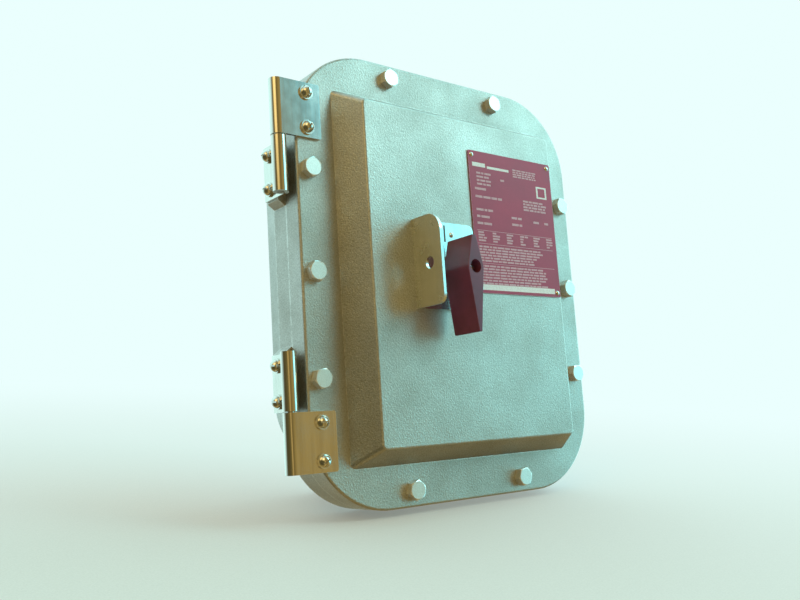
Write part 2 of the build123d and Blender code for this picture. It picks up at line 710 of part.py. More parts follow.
# ---------------------------------------------------------------- line side: lugs, jaws, arc shields
LINE_LUG_Y = 99.0
LUG_SIZE = (16.0, 20.0, 20.0)
BLADE = 3.2
BLADE_DEEP = 12.0
SPRING_LEAF = 2.0
LEAF_GAP = 0.3
spring_x = BLADE / 2 + LEAF_GAP + SPRING_LEAF / 2


def wire_lug(up, mouth):
    """Box lugs for the three poles at a height up, open towards the mouth side (1 up, -1 down)."""
    width, tall, deep = LUG_SIZE
    with BuildPart() as lug:
        with BuildSketch(facing(TOP)):
            with Locations(*[(x, up) for x in POLES]):
                RectangleRounded(width, tall, 1.5)
        extrude(amount=deep)
        with BuildSketch(upright(up - mouth * (tall / 2 - 4))):
            with Locations(*[(x, -(TOP + 7.5)) for x in POLES]):
                Circle(5)
        extrude(amount=mouth * tall, mode=Mode.SUBTRACT)
        with Locations(*[spot(x, up + mouth * 1.5, TOP + deep) for x in POLES]):
            Hole(3.6, depth=deep - 10)
    return lug


def lug_screw_group(up, mouth):
    """Socket set screws that clamp the wires in a row of lugs."""
    with BuildPart() as screws:
        with BuildSketch(facing(TOP + 13)):
            with Locations(*[(x, up + mouth * 1.5) for x in POLES]):
                Circle(3.5)
        extrude(amount=9)
        with BuildSketch(facing(TOP + 22)):
            with Locations(*[(x, up + mouth * 1.5) for x in POLES]):
                RegularPolygon(2.2, 6)
        extrude(amount=-4, mode=Mode.SUBTRACT)
    return screws


def strip(up_low, up_high, screw_up):
    """Copper strips on the deck of the three poles, each held by one screw."""
    with BuildPart() as strips:
        with BuildSketch(facing(DECK)):
            with Locations(*[(x, (up_low + up_high) / 2) for x in POLES]):
                Rectangle(15, up_high - up_low)
            with Locations(*[(x, screw_up) for x in POLES]):
                Circle(2.2, mode=Mode.SUBTRACT)
        extrude(amount=STRIP)
    return strips


def spring_pairs(low, high, out_high):
    """Upright copper leaves on the strips, one each side of the blade of every pole."""
    with BuildPart() as leaves:
        with BuildSketch(facing(TOP)):
            with Locations(*[(x + side * spring_x, (low + high) / 2) for x in POLES for side in (-1, 1)]):
                Rectangle(SPRING_LEAF, high - low)
        extrude(amount=out_high - TOP)
    return leaves


with BuildPart() as line_jaws:
    add(strip(52, 111, STRIP_SCREWS[0]).part)
    add(spring_pairs(64, 82, TOP + 24).part)
line_jaws.part.label = "line_jaws"
export_step(line_jaws.part, "parts/line_jaws.step")

line_lugs = wire_lug(LINE_LUG_Y, 1)
line_lugs.part.label = "line_lugs"
export_step(line_lugs.part, "parts/line_lugs.step")
line_lug_screws = lug_screw_group(LINE_LUG_Y, 1)
line_lug_screws.part.label = "line_lug_screws"
export_step(line_lug_screws.part, "parts/line_lug_screws.step")

SHIELD = 2.0
SHIELD_WIDE = 28.0
SHIELD_Y = (59.0, 86.5)
SHIELD_OUT = 84.0

with BuildPart() as arc_shields:
    for pole in POLES:
        with BuildSketch(facing(TOP)):
            with Locations((pole, sum(SHIELD_Y) / 2)):
                Rectangle(SHIELD_WIDE, SHIELD_Y[1] - SHIELD_Y[0])
            with Locations((pole, sum(SHIELD_Y) / 2 - SHIELD)):
                Rectangle(SHIELD_WIDE - 2 * SHIELD, SHIELD_Y[1] - SHIELD_Y[0], mode=Mode.SUBTRACT)
        extrude(amount=SHIELD_OUT - TOP)
        # Steel splitter plates across the path of the arc, beside the blade
        for level in (72.0, 76.0, 80.0):
            with BuildSketch(facing(level)):
                for side in (-1, 1):
                    with Locations((pole + side * 8.5, sum(SHIELD_Y) / 2)):
                        Rectangle(9.5, SHIELD_Y[1] - SHIELD_Y[0] - 2 * SHIELD)
            extrude(amount=1.0)
arc_shields.part.label = "arc_shields"
export_step(arc_shields.part, "parts/arc_shields.step")

# ---------------------------------------------------------------- blades, posts and crossbar
BLADE_TIP = 80.0
POST_Y = (23.0, 37.0)
PIVOT = 6.0
CROSSBAR_Y = (40.0, 50.0)
CROSSBAR_OUT = (CURRENT_OUT + BLADE_DEEP / 2, CURRENT_OUT + BLADE_DEEP / 2 + 12)
CROSSBAR_X = (-11.0, POLES[2] + 9)
STUB = 10.0

with BuildPart() as blade_posts:
    add(strip(-19, 44, STRIP_SCREWS[1]).part)
    add(spring_pairs(*POST_Y, CURRENT_OUT + 6).part)
    with Locations(Plane(origin=(POLES[2] + 10, -CURRENT_OUT, PIVOT_Y), z_dir=(1, 0, 0)).location):
        Hole(PIVOT / 2, depth=120)
blade_posts.part.label = "blade_posts"
export_step(blade_posts.part, "parts/blade_posts.step")

with BuildPart() as pivot_pins:
    for pole in POLES:
        with BuildSketch(Plane(origin=(pole - 5.5, -CURRENT_OUT, PIVOT_Y), z_dir=(1, 0, 0))):
            Circle(PIVOT / 2)
        extrude(amount=11)
pivot_pins.part.label = "pivot_pins"
export_step(pivot_pins.part, "parts/pivot_pins.step")

with BuildPart() as switch_blades:
    for pole in POLES:
        with BuildSketch(across(pole + BLADE / 2)):
            with Locations((CURRENT_OUT, (PIVOT_Y + BLADE_TIP) / 2)):
                Rectangle(BLADE_DEEP, BLADE_TIP - PIVOT_Y)
            with Locations((CURRENT_OUT, PIVOT_Y)):
                Circle(BLADE_DEEP / 2)
                Circle(PIVOT / 2 + PIN_PLAY, mode=Mode.SUBTRACT)
        extrude(amount=BLADE)
    tips = switch_blades.edges().filter_by(Axis.X).group_by(Axis.Z)[-1]
    fillet(tips, 3)
switch_blades.part.label = "switch_blades"
export_step(switch_blades.part, "parts/switch_blades.step")

with BuildPart() as crossbar:
    with BuildSketch(across(CROSSBAR_X[1])):
        with Locations((sum(CROSSBAR_OUT) / 2, sum(CROSSBAR_Y) / 2)):
            RectangleRounded(CROSSBAR_OUT[1] - CROSSBAR_OUT[0], CROSSBAR_Y[1] - CROSSBAR_Y[0], 2)
    extrude(amount=CROSSBAR_X[1] - CROSSBAR_X[0])
    # Crank arm from the bar to the stub shaft
    with BuildSketch(across(CROSSBAR_X[0] + 5)):
        with BuildLine():
            Polyline(
                (CURRENT_OUT - 6, PIVOT_Y - 2),
                (CURRENT_OUT - 6, PIVOT_Y + 8),
                (CROSSBAR_OUT[0], CROSSBAR_Y[1]),
                (CROSSBAR_OUT[1], CROSSBAR_Y[1]),
                (CROSSBAR_OUT[1], CROSSBAR_Y[0]),
                (CURRENT_OUT + 6, PIVOT_Y - 4),
                close=True,
            )
        make_face()
        with Locations((CURRENT_OUT, PIVOT_Y)):
            Circle(7)
    extrude(amount=5)
    # Stub shaft into the mechanism housing
    with BuildSketch(across(CROSSBAR_X[0])):
        with Locations((CURRENT_OUT, PIVOT_Y)):
            Circle(STUB / 2)
    extrude(amount=12)
crossbar.part.label = "crossbar"
export_step(crossbar.part, "parts/crossbar.step")

# ---------------------------------------------------------------- mechanism housing and drive hub
HOUSING_X = (-54.0, -13.0)
HOUSING_Y = (-24.0, 44.0)
HOUSING_OUT = 82.0
HOUSING_WALL = 3.0
housing_mid = (sum(HOUSING_X) / 2, sum(HOUSING_Y) / 2)
housing_size = (HOUSING_X[1] - HOUSING_X[0], HOUSING_Y[1] - HOUSING_Y[0])

with BuildPart() as mechanism_housing:
    with BuildSketch(facing(DECK)):
        with Locations(housing_mid):
            RectangleRounded(*housing_size, 4)
    extrude(amount=HOUSING_OUT - DECK)
    fillet(mechanism_housing.faces().sort_by(Axis.Y)[0].edges(), 1.5)
    with BuildSketch(facing(DECK)):
        with Locations(housing_mid):
            RectangleRounded(*inset(housing_size, HOUSING_WALL), 2)
    extrude(amount=HOUSING_OUT - DECK - HOUSING_WALL, mode=Mode.SUBTRACT)
    with Locations(spot(SHAFT_X, 0, HOUSING_OUT)):
        Hole(SHAFT / 2 + PIN_PLAY, depth=HOUSING_WALL + 1)
    with Locations(Plane(origin=(HOUSING_X[1], -CURRENT_OUT, PIVOT_Y), z_dir=(1, 0, 0)).location):
        Hole(STUB / 2 + PIN_PLAY, depth=HOUSING_WALL + 1)
mechanism_housing.part.label = "mechanism_housing"
export_step(mechanism_housing.part, "parts/mechanism_housing.step")

with BuildPart() as drive_hub:
    with BuildSketch(facing(DECK + 1)):
        with Locations((SHAFT_X, 0)):
            Circle(SHAFT / 2)
    extrude(amount=HOUSING_OUT + 1 - DECK - 1)
    with BuildSketch(facing(HOUSING_OUT + 1)):
        with Locations((SHAFT_X, 0)):
            Circle(15)
    extrude(amount=FORK_OUT - 0.5 - HOUSING_OUT - 1)
    with BuildSketch(facing(FORK_OUT - 0.5)):
        with Locations((SHAFT_X, 0)):
            RectangleRounded(24, 5, 1)
    extrude(amount=KEY_RISE)
    # Crank inside the housing
    with BuildSketch(facing(52)):
        with Locations((SHAFT_X, 0)):
            Circle(9)
        with Locations((SHAFT_X, 8)):
            RectangleRounded(8, 16, 3)
    extrude(amount=6)
drive_hub.part.label = "drive_hub"
export_step(drive_hub.part, "parts/drive_hub.step")

# Torsion spring around the hub shaft
SPRING_RADIUS = 10.0
SPRING_WIRE = 1.8
SPRING_PITCH = 2.6
SPRING_TURNS = 5
with BuildPart() as spring_coil:
    with BuildLine():
        coil = Helix(SPRING_PITCH, SPRING_PITCH * SPRING_TURNS, SPRING_RADIUS)
    with BuildSketch(Plane(origin=coil @ 0, z_dir=coil % 0)):
        Circle(SPRING_WIRE / 2)
    sweep(path=coil, is_frenet=True)

with BuildPart() as drive_spring:
    with Locations(spot(SHAFT_X, 0, 62)):
        add(spring_coil.part)
drive_spring.part.label = "drive_spring"
export_step(drive_spring.part, "parts/drive_spring.step")

# ---------------------------------------------------------------- fuses, clips, barriers, load lugs
FUSE_DIAMETER = 20.6
FUSE_LONG = 57.0
CAP_LONG = 12.7
CLIP_INNER = 10.7
CLIP = 1.4
CLIP_WIDE = 10.0
LOAD_LUG_Y = -97.0
cap_mid = (FUSE_LONG - CAP_LONG) / 2

with BuildPart() as fuse_tubes:
    with BuildSketch(upright(FUSE_Y - cap_mid)):
        with Locations(*[(x, -FUSE_OUT) for x in POLES]):
            Circle(FUSE_DIAMETER / 2 - 0.4)
    extrude(amount=2 * cap_mid)
fuse_tubes.part.label = "fuse_tubes"
export_step(fuse_tubes.part, "parts/fuse_tubes.step")

with BuildPart() as fuse_caps:
    for side in (-1, 1):
        with BuildSketch(upright(FUSE_Y + side * (cap_mid - CAP_LONG / 2))):
            with Locations(*[(x, -FUSE_OUT) for x in POLES]):
                Circle(FUSE_DIAMETER / 2)
                Circle(FUSE_DIAMETER / 2 - 0.4, mode=Mode.SUBTRACT)
        extrude(amount=side * CAP_LONG)
        with BuildSketch(upright(FUSE_Y + side * cap_mid)):
            with Locations(*[(x, -FUSE_OUT) for x in POLES]):
                Circle(FUSE_DIAMETER / 2)
        extrude(amount=side * CAP_LONG / 2)
fuse_caps.part.label = "fuse_caps"
export_step(fuse_caps.part, "parts/fuse_caps.step")


def clip_row(up):
    """Spring clips that grip one end of each fuse from behind, with a foot on the copper strip."""
    with BuildPart() as clips:
        with BuildSketch(upright(up - CLIP_WIDE / 2)):
            with Locations(*[(x, -FUSE_OUT) for x in POLES]):
                Circle(CLIP_INNER + CLIP)
            with Locations(*[(x, -(TOP + FUSE_OUT - CLIP_INNER) / 2) for x in POLES]):
                Rectangle(9, FUSE_OUT - CLIP_INNER - TOP)
            with Locations(*[(x, -FUSE_OUT) for x in POLES]):
                Circle(CLIP_INNER, mode=Mode.SUBTRACT)
            with Locations(*[(x, -(FUSE_OUT + 12)) for x in POLES]):
                Rectangle(2 * (CLIP_INNER + CLIP) + 2, 14, mode=Mode.SUBTRACT)
        extrude(amount=CLIP_WIDE)
    return clips


with BuildPart() as line_fuse_clips:
    add(clip_row(FUSE_Y + cap_mid).part)
line_fuse_clips.part.label = "line_fuse_clips"
export_step(line_fuse_clips.part, "parts/line_fuse_clips.step")

with BuildPart() as load_fuse_clips:
    add(strip(-109, -46, STRIP_SCREWS[2]).part)
    add(clip_row(FUSE_Y - cap_mid).part)
load_fuse_clips.part.label = "load_fuse_clips"
export_step(load_fuse_clips.part, "parts/load_fuse_clips.step")

with BuildPart() as strip_screws:
    with Locations(*[spot(x, y, TOP) for x in POLES for y in STRIP_SCREWS]):
        add(round_screw(6.4, 2.4, 4.2, 10.0, slot=0.9))
strip_screws.part.label = "strip_screws"
export_step(strip_screws.part, "parts/strip_screws.step")

load_lugs = wire_lug(LOAD_LUG_Y, -1)
load_lugs.part.label = "load_lugs"
export_step(load_lugs.part, "parts/load_lugs.step")
load_lug_screws = lug_screw_group(LOAD_LUG_Y, -1)
load_lug_screws.part.label = "load_lug_screws"
export_step(load_lug_screws.part, "parts/load_lug_screws.step")

BARRIER = 2.0
BARRIER_Y = (-74.0, 10.0)
BARRIER_OUT = 78.0
barrier_x = [POLES[0] - 16.5, (POLES[0] + POLES[1]) / 2, (POLES[1] + POLES[2]) / 2, POLES[2] + 16.5]

with BuildPart() as phase_barriers:
    with BuildSketch(facing(DECK)):
        with Locations(*[(x, sum(BARRIER_Y) / 2) for x in barrier_x]):
            Rectangle(BARRIER, BARRIER_Y[1] - BARRIER_Y[0])
    extrude(amount=BARRIER_OUT - DECK)
    front_corners = phase_barriers.edges().filter_by(Axis.X).group_by(Axis.Y)[0]
    fillet(front_corners, 4)
phase_barriers.part.label = "phase_barriers"
export_step(phase_barriers.part, "parts/phase_barriers.step")
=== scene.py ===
"""Looks of a fused disconnect switch: a cast enclosure with a hinged cover and a rotary handle.

Metres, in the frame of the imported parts: x to the viewer's right, z up, the front faces -y.
"""
import math

import bpy
import numpy as np
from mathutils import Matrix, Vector


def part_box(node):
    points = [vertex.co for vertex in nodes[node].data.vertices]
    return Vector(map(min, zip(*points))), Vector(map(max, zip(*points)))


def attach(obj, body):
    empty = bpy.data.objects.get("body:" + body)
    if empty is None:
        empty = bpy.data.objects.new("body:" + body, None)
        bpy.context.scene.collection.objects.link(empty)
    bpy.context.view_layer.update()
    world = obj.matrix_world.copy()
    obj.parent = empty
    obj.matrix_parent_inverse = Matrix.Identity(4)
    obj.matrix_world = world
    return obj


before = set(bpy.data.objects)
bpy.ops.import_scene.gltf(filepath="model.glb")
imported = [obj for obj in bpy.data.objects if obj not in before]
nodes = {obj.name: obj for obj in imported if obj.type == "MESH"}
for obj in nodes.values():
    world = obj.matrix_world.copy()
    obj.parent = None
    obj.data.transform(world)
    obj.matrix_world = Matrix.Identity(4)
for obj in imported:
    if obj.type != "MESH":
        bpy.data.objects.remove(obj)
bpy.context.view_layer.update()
scene = bpy.context.scene

# ------------------------------------------------------------------ camera
# Stands low and to the left, 0.7 m from the cover, and looks slightly up at it. The enclosure
# leans back on the lower rear edge of its flange, so the level floor slopes in this frame.
SENSOR = 36.0                # mm, as is the focal length
FOCAL = 37.73
EYE = (-0.4833, -0.6465, -0.1192)
TILT, ROLL, PAN = 98.41, 3.69, -37.67

camera_data = bpy.data.cameras.new("camera")
camera_data.sensor_width = SENSOR
camera_data.lens = FOCAL
camera = bpy.data.objects.new("camera", camera_data)
camera.location = EYE
camera.rotation_euler = (math.radians(TILT), math.radians(ROLL), math.radians(PAN))
scene.collection.objects.link(camera)
scene.camera = camera

# ------------------------------------------------------------------ floor and studio light
# A pale sweep of matt paper under the object, glowing farther off as painted light, and one soft cool
# lamp high on the right in front.
# The room is warm and dim towards the left, and bright behind and on the right.
FLOOR_REST = -0.1735         # height of the floor in the plane of the wall face
FLOOR_SLOPE = 0.162          # how fast the floor falls away towards the front
FLOOR_RADIUS = 6.0
FLOOR_SIDES = 96
LAMP_AIM = np.array((0.0, -0.13, 0.0))
LAMP_WAY = np.array((0.59, -0.63, 0.50))
LAMP_FAR = 2.2
LAMP_SIZE = 0.55
LAMP_POWER = 4.0
LAMP_TINT = (0.78, 1.0, 0.93)


def put_mesh(name, points, faces, material=None, smooth=False):
    """A mesh object at the origin from an (n, 3) array of points and a list of faces."""
    mesh = bpy.data.meshes.new(name)
    mesh.from_pydata(points.tolist(), [], [tuple(face) for face in faces])
    mesh.update()
    if smooth:
        mesh.shade_smooth()
    piece = bpy.data.objects.new(name, mesh)
    scene.collection.objects.link(piece)
    if material is not None:
        mesh.materials.append(material)
    return piece


def new_material(name):
    """A node material with its Principled shader: returns the material, its tree and the shader."""
    material = bpy.data.materials.new(name)
    material.use_nodes = True
    tree = material.node_tree
    return material, tree, tree.nodes["Principled BSDF"]


def add_node(tree, kind, links=None, **settings):
    """A node of a kind, with its settings, and its inputs set or linked by name or number."""
    made = tree.nodes.new(kind)
    for key, value in settings.items():
        setattr(made, key, value)
    for key, value in (links or {}).items():
        if isinstance(value, bpy.types.NodeSocket):
            tree.links.new(value, made.inputs[key])
        else:
            made.inputs[key].default_value = value
    return made


def ramp(tree, factor, stops):
    """A colour ramp over a factor, with stops of (place, colour)."""
    made = add_node(tree, "ShaderNodeValToRGB", {"Fac": factor})
    elements = made.color_ramp.elements
    elements[0].position, elements[0].color = stops[0][0], (*stops[0][1], 1.0)
    elements[1].position, elements[1].color = stops[-1][0], (*stops[-1][1], 1.0)
    for place, colour in stops[1:-1]:
        elements.new(place).color = (*colour, 1.0)
    return made.outputs["Color"]


def relief(tree, shader, height, strength, depth=0.0002):
    """Fine relief on a shader's surface, from a height and the depth that it stands for."""
    rise = add_node(
        tree, "ShaderNodeBump", {"Height": height, "Strength": strength, "Distance": depth}
    )
    tree.links.new(rise.outputs["Normal"], shader.inputs["Normal"])


PAPER_DULL = (0.76, 0.67, 0.65)
PAPER_BRIGHT = (0.82, 0.73, 0.71)
SWEEP_CENTRE = (-0.60, -0.45, -0.24)
SWEEP_NEAR = 0.20            # paper alone up to here, its far glow from the second distance on
SWEEP_FAR = 1.70
BACKDROP = (0.83, 1.0, 0.99)

paper, tree, shader = new_material("studio_paper")
place = add_node(tree, "ShaderNodeTexCoord").outputs["Object"]
fibres = add_node(tree, "ShaderNodeTexNoise", {"Vector": place, "Scale": 900.0, "Detail": 3.0})
tint = ramp(tree, fibres.outputs["Fac"], [(0.3, PAPER_DULL), (0.7, PAPER_BRIGHT)])
tree.links.new(tint, shader.inputs["Base Color"])
relief(tree, shader, fibres.outputs["Fac"], 0.05, depth=0.0004)
shader.inputs["Roughness"].default_value = 0.85
shader.inputs["Specular IOR Level"].default_value = 0.2
# Painted light: away from a point to the front left the paper fades into a glow of the backdrop colour,
# so the far side and the right of the floor shine though no lamp lights them.
away = add_node(tree, "ShaderNodeVectorMath", {0: place, 1: SWEEP_CENTRE}, operation="DISTANCE")
fade = add_node(
    tree, "ShaderNodeMapRange",
    {"Value": away.outputs["Value"], "From Min": SWEEP_NEAR, "From Max": SWEEP_FAR},
    interpolation_type="SMOOTHSTEP",
)
glow = add_node(tree, "ShaderNodeEmission", {"Color": (*BACKDROP, 1.0), "Strength": 1.0})
sweep = add_node(
    tree, "ShaderNodeMixShader", {0: fade.outputs["Result"], 1: shader.outputs[0], 2: glow.outputs[0]}
)
tree.links.new(sweep.outputs[0], tree.nodes["Material Output"].inputs["Surface"])

# A fan of triangles on the plane z = rest + slope * y
turn = np.linspace(0.0, 2 * np.pi, FLOOR_SIDES, endpoint=False)
rim = np.stack([FLOOR_RADIUS * np.cos(turn), FLOOR_RADIUS * np.sin(turn), 0 * turn], axis=1)
rim[:, 2] = FLOOR_REST + FLOOR_SLOPE * rim[:, 1]
floor_points = np.vstack([[[0.0, 0.0, FLOOR_REST]], rim])
floor_faces = [(0, 1 + i, 1 + (i + 1) % FLOOR_SIDES) for i in range(FLOOR_SIDES)]
floor = put_mesh("floor", floor_points, floor_faces, paper)
floor.visible_glossy = False

lamp_data = bpy.data.lights.new("lamp", "AREA")
lamp_data.shape = "DISK"
lamp_data.size = LAMP_SIZE
lamp_data.energy = LAMP_POWER
lamp_data.color = LAMP_TINT
lamp = bpy.data.objects.new("lamp", lamp_data)
lamp_way = LAMP_WAY / np.linalg.norm(LAMP_WAY)
lamp.location = LAMP_AIM + LAMP_FAR * lamp_way
lamp.rotation_mode = "QUATERNION"
lamp.rotation_quaternion = Vector(lamp_way).to_track_quat("Z", "Y")
scene.collection.objects.link(lamp)

# The room, as the metal mirrors it. In front it turns from dim tan on the left to bright cyan on
# the right with x + 0.5 z, the paper behind and above is bright with 0.8 y + 0.6 z, and one warm
# window glows high on the left in front.
ACROSS = (1.0, 0.0, 0.5)
FRONT_TONES = [
    (0.00, (0.038, 0.032, 0.013)),
    (0.14, (0.075, 0.057, 0.017)),
    (0.24, (0.267, 0.188, 0.062)),
    (0.33, (0.075, 0.054, 0.017)),
    (0.60, (0.150, 0.108, 0.032)),
    (0.75, (0.163, 0.121, 0.042)),
    (0.80, (0.092, 0.165, 0.160)),
    (0.835, (0.160, 0.640, 0.780)),
    (0.87, (0.330, 0.980, 1.000)),
    (1.00, (0.580, 1.000, 1.000)),
]
BACK = (0.0, 0.8, 0.6)
BACK_TONE = (0.35, 0.53, 0.52)
WINDOW = (-0.68, -0.42, 0.60)
WINDOW_TONE = (0.85, 0.63, 0.25)
ROOM_STRENGTH = 2.4

world = bpy.data.worlds.new("room")
world.use_nodes = True
scene.world = world
tree = world.node_tree
tree.nodes.clear()
way = add_node(tree, "ShaderNodeTexCoord").outputs["Generated"]


def toward(direction, start, end):
    """Rises from 0 to 1 as the way seen, taken along a direction, goes from start to end."""
    along = add_node(tree, "ShaderNodeVectorMath", {0: way, 1: direction}, operation="DOT_PRODUCT")
    step = add_node(
        tree, "ShaderNodeMapRange", {"Value": along.outputs["Value"], "From Min": start, "From Max": end}
    )
    return step.outputs["Result"]


front = ramp(tree, toward(ACROSS, -1.0, 1.1), FRONT_TONES)
behind = add_node(
    tree, "ShaderNodeMix",
    {0: toward(BACK, 0.25, 0.75), 6: front, 7: (*BACK_TONE, 1.0)}, data_type="RGBA",
)
window = add_node(
    tree, "ShaderNodeMix",
    {0: toward(WINDOW, 0.90, 0.99), 6: behind.outputs[2], 7: (*WINDOW_TONE, 1.0)}, data_type="RGBA",
)
room_light = add_node(
    tree, "ShaderNodeBackground", {"Color": window.outputs[2], "Strength": ROOM_STRENGTH}
)
backdrop = add_node(tree, "ShaderNodeBackground", {"Color": (*BACKDROP, 1.0), "Strength": 1.0})
seen = add_node(tree, "ShaderNodeLightPath").outputs["Is Camera Ray"]
both = add_node(
    tree, "ShaderNodeMixShader", {0: seen, 1: room_light.outputs[0], 2: backdrop.outputs[0]}
)
add_node(tree, "ShaderNodeOutputWorld", {"Surface": both.outputs[0]})
scene.view_settings.view_transform = "Standard"

# ------------------------------------------------------------------ the two castings
# The body and the cover are sand castings in copper-free aluminium, blasted to an even fine
# grain and left bare. Edges are worn and carry a painted highlight, and painted shade darkens
# the roots and the seam.
CAST_GRAIN = 760.0           # grains are about 1.3 mm across


def new_group(name, inputs, outputs):
    """A shader node group with named inputs (name: default) and outputs (name: socket type)."""
    group = bpy.data.node_groups.new(name, "ShaderNodeTree")
    for key, default in inputs.items():
        kind = "NodeSocketColor" if isinstance(default, tuple) else "NodeSocketFloat"
        socket = group.interface.new_socket(key, in_out="INPUT", socket_type=kind)
        socket.default_value = default
    for key, kind in outputs.items():
        group.interface.new_socket(key, in_out="OUTPUT", socket_type=kind)
    source = group.nodes.new("NodeGroupInput")
    sink = group.nodes.new("NodeGroupOutput")
    return group, source, sink


def use_group(tree, group, values):
    """The group placed in a tree with its own values."""
    made = tree.nodes.new("ShaderNodeGroup")
    made.node_tree = group
    for key, value in values.items():
        if isinstance(value, bpy.types.NodeSocket):
            tree.links.new(value, made.inputs[key])
        else:
            made.inputs[key].default_value = value
    return made


# Grain: coarse and fine noise added up into a height, and a slow drift of tone over the surface
grain_group, source, sink = new_group(
    "grain",
    {"Scale": 1000.0, "Drift Scale": 14.0},
    {"Height": "NodeSocketFloat", "Pits": "NodeSocketFloat", "Drift": "NodeSocketFloat"},
)
place = add_node(grain_group, "ShaderNodeTexCoord").outputs["Object"]
coarse = add_node(
    grain_group, "ShaderNodeTexNoise",
    {"Vector": place, "Scale": source.outputs["Scale"], "Detail": 4.0, "Roughness": 0.65},
)
cells = add_node(
    grain_group, "ShaderNodeTexVoronoi", {"Vector": place, "Scale": source.outputs["Scale"]}
)
height = add_node(
    grain_group, "ShaderNodeMath",
    {0: cells.outputs["Distance"], 1: 0.5, 2: coarse.outputs["Fac"]}, operation="MULTIPLY_ADD",
)
pits = add_node(
    grain_group, "ShaderNodeMapRange",
    {"Value": coarse.outputs["Fac"], "From Min": 0.36, "From Max": 0.60},
)
drift = add_node(
    grain_group, "ShaderNodeTexNoise",
    {"Vector": place, "Scale": source.outputs["Drift Scale"], "Detail": 5.0, "Roughness": 0.6},
)
grain_group.links.new(height.outputs[0], sink.inputs["Height"])
grain_group.links.new(pits.outputs["Result"], sink.inputs["Pits"])
grain_group.links.new(drift.outputs["Fac"], sink.inputs["Drift"])

# Edge mask for wear and for painted highlight: how far the bevelled normal turns from the
# face's own, broken up by noise
edge_group, source, sink = new_group(
    "edge_wear_and_highlight", {"Radius": 0.001, "Break Up": 300.0}, {"Edge Mask": "NodeSocketFloat"}
)
place = add_node(edge_group, "ShaderNodeTexCoord").outputs["Object"]
soft = add_node(edge_group, "ShaderNodeBevel", {"Radius": source.outputs["Radius"]}, samples=6)
own = add_node(edge_group, "ShaderNodeNewGeometry").outputs["Normal"]
agree = add_node(
    edge_group, "ShaderNodeVectorMath", {0: soft.outputs["Normal"], 1: own}, operation="DOT_PRODUCT"
)
edge = add_node(
    edge_group, "ShaderNodeMapRange",
    {"Value": agree.outputs["Value"], "From Min": 0.985, "From Max": 0.86},
)
chips = add_node(
    edge_group, "ShaderNodeTexNoise",
    {"Vector": place, "Scale": source.outputs["Break Up"], "Detail": 3.0},
)
kept = add_node(
    edge_group, "ShaderNodeMapRange",
    {"Value": chips.outputs["Fac"], "From Min": 0.30, "From Max": 0.55},
)
broken_edge = add_node(
    edge_group, "ShaderNodeMath",
    {0: edge.outputs["Result"], 1: kept.outputs["Result"]}, operation="MULTIPLY",
)
edge_group.links.new(broken_edge.outputs[0], sink.inputs["Edge Mask"])

# Painted corner shade: the share of nearby surface that shuts a spot in, thinned by noise
shade_group, source, sink = new_group(
    "painted_corner_shade", {"Reach": 0.01, "Amount": 0.6}, {"Shade Mask": "NodeSocketFloat"}
)
place = add_node(shade_group, "ShaderNodeTexCoord").outputs["Object"]
shut = add_node(
    shade_group, "ShaderNodeAmbientOcclusion", {"Distance": source.outputs["Reach"]},
    samples=6, only_local=True,
)
deep = add_node(
    shade_group, "ShaderNodeMapRange", {"Value": shut.outputs["AO"], "From Min": 0.95, "From Max": 0.35}
)
streaks = add_node(shade_group, "ShaderNodeTexNoise", {"Vector": place, "Scale": 60.0, "Detail": 4.0})
thin = add_node(
    shade_group, "ShaderNodeMapRange",
    {"Value": streaks.outputs["Fac"], "From Min": 0.25, "From Max": 0.65, "To Min": 0.4},
)
broken_shade = add_node(
    shade_group, "ShaderNodeMath",
    {0: deep.outputs["Result"], 1: thin.outputs["Result"]}, operation="MULTIPLY",
)
corner_shade = add_node(
    shade_group, "ShaderNodeMath", {0: broken_shade.outputs[0], 1: source.outputs["Amount"]}, operation="MULTIPLY"
)
shade_group.links.new(corner_shade.outputs[0], sink.inputs["Shade Mask"])


def mix(tree, factor, first, second):
    """Colour between two colours or colour sockets by a factor."""
    made = add_node(tree, "ShaderNodeMix", data_type="RGBA")
    for number, value in ((0, factor), (6, first), (7, second)):
        if isinstance(value, bpy.types.NodeSocket):
            tree.links.new(value, made.inputs[number])
        elif number == 0:
            made.inputs[0].default_value = value
        else:
            made.inputs[number].default_value = (*value, 1.0)
    return made.outputs[2]


def rescale(tree, value, low, high, start=0.0, end=1.0):
    """A value's stretch from start to end carried over to low to high."""
    made = add_node(
        tree, "ShaderNodeMapRange",
        {"Value": value, "From Min": start, "From Max": end, "To Min": low, "To Max": high},
    )
    return made.outputs["Result"]


